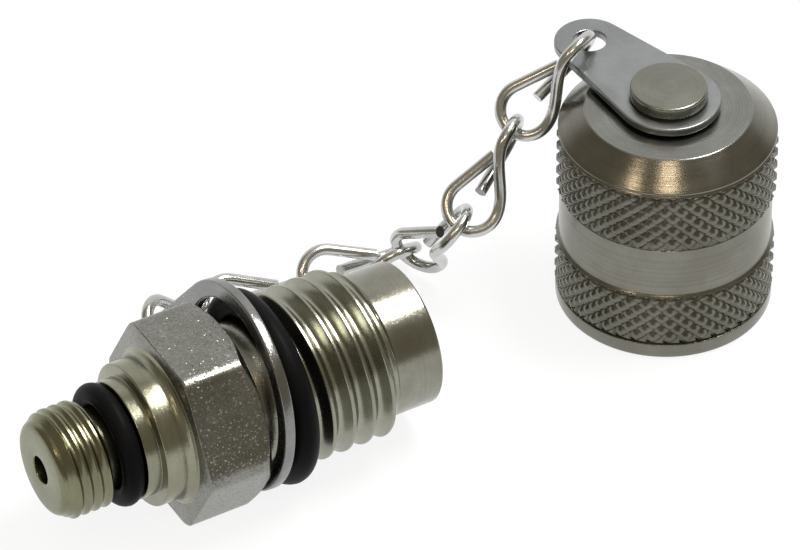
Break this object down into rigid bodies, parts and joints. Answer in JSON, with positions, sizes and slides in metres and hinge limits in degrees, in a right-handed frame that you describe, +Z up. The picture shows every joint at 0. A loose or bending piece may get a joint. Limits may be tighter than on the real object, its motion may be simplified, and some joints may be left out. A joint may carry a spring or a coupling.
{
  "type": "hydraulic test point coupling",
  "caption": "Hydraulic test point: M10 stud, hex body, M16x2 gauge thread, sprung check valve and a knurled screw cap on a chain.",
  "frame": {"origin": "on the body's axis, in the face that seats on the port", "axes": "+X along the body from the stud to the nose, +Z up from the hex flat it lies on, +Y to the side where the chain hangs"},
  "size_m": [0.0751, 0.029, 0.0255],
  "materials": {
    "plated_body": "satin zinc plate",
    "plated_cap": "satin zinc plate, knurled",
    "plated_tag": "satin zinc plate",
    "chain_wire": "bright zinc plate",
    "rivet_steel": "turned and plated",
    "inner_steel": "turned",
    "spring_wire": "drawn wire",
    "seal_rubber": "moulded",
    "cap_plastic": "moulded"
  },
  "bodies": {
    "coupling": {"coupling_body": "plated_body", "stud_o_ring": "seal_rubber", "collar_o_ring": "seal_rubber", "valve_bush": "inner_steel", "bush_seal": "seal_rubber", "probe_seal": "seal_rubber", "nose_ring": "inner_steel", "valve_spring": "spring_wire"},
    "ring_tag": {"body_ring_tag": "plated_tag"},
    "link_6": {"chain_link_6": "chain_wire"},
    "link_5": {"chain_link_5": "chain_wire"},
    "link_4": {"chain_link_4": "chain_wire"},
    "link_3": {"chain_link_3": "chain_wire"},
    "link_2": {"chain_link_2": "chain_wire"},
    "link_1": {"chain_link_1": "chain_wire"},
    "cap_tag": {"cap_tag": "plated_tag"},
    "cap": {"screw_cap": "plated_cap", "cap_rivet": "rivet_steel", "cap_seal": "cap_plastic"},
    "valve": {"valve_poppet": "inner_steel", "poppet_seal": "seal_rubber"}
  },
  "joints": [
    {"name": "ring_tag_turn", "type": "hinge", "parent": "coupling", "child": "ring_tag", "pos_m": [0.0105, 0, 0], "axis": [1, 0, 0], "continuous": true},
    {"name": "link_6_swing", "type": "hinge", "parent": "ring_tag", "child": "link_6", "pos_m": [0.0105, 0.01396, -0.00228], "axis": [0, -0.7478, 0.6639], "range_deg": [-18, 4]},
    {"name": "link_5_swing", "type": "hinge", "parent": "link_6", "child": "link_5", "pos_m": [0.01751, 0.01769, -0.00619], "axis": [0.6076, -0.6186, 0.4981], "range_deg": [-40, 40]},
    {"name": "link_4_swing", "type": "hinge", "parent": "link_5", "child": "link_4", "pos_m": [0.02773, 0.0167, -0.00615], "axis": [-0.0035, -0.748, 0.6636], "range_deg": [-20, 40]},
    {"name": "link_3_swing", "type": "hinge", "parent": "link_4", "child": "link_3", "pos_m": [0.03768, 0.01568, -0.00587], "axis": [-0.0854, -0.7428, 0.6641], "range_deg": [-40, 8]},
    {"name": "link_2_swing", "type": "hinge", "parent": "link_3", "child": "link_2", "pos_m": [0.03837, 0.00829, 0.00216], "axis": [-0.8223, -0.5089, -0.2548], "range_deg": [-40, 28]},
    {"name": "link_1_swing", "type": "hinge", "parent": "link_2", "child": "link_1", "pos_m": [0.04633, 0.01193, 0.00832], "axis": [-0.4277, -0.5595, 0.7099], "range_deg": [-12, 40]},
    {"name": "cap_tag_swing", "type": "hinge", "parent": "link_1", "child": "cap_tag", "pos_m": [0.05189, 0.01172, 0.0136], "axis": [0.309, -0.9511, 0], "range_deg": [-2, 40]},
    {"name": "cap_turn", "type": "hinge", "parent": "cap_tag", "child": "cap", "pos_m": [0.05601, 0.00192, 0.0129], "axis": [0, 0, 1], "continuous": true},
    {"name": "valve_slide", "type": "slide", "parent": "coupling", "child": "valve", "axis": [-1, 0, 0], "range_m": [0, 0.002], "stiffness_N_per_m": 600, "springref_m": -0.002, "deforming": ["valve_spring"]}
  ]
}
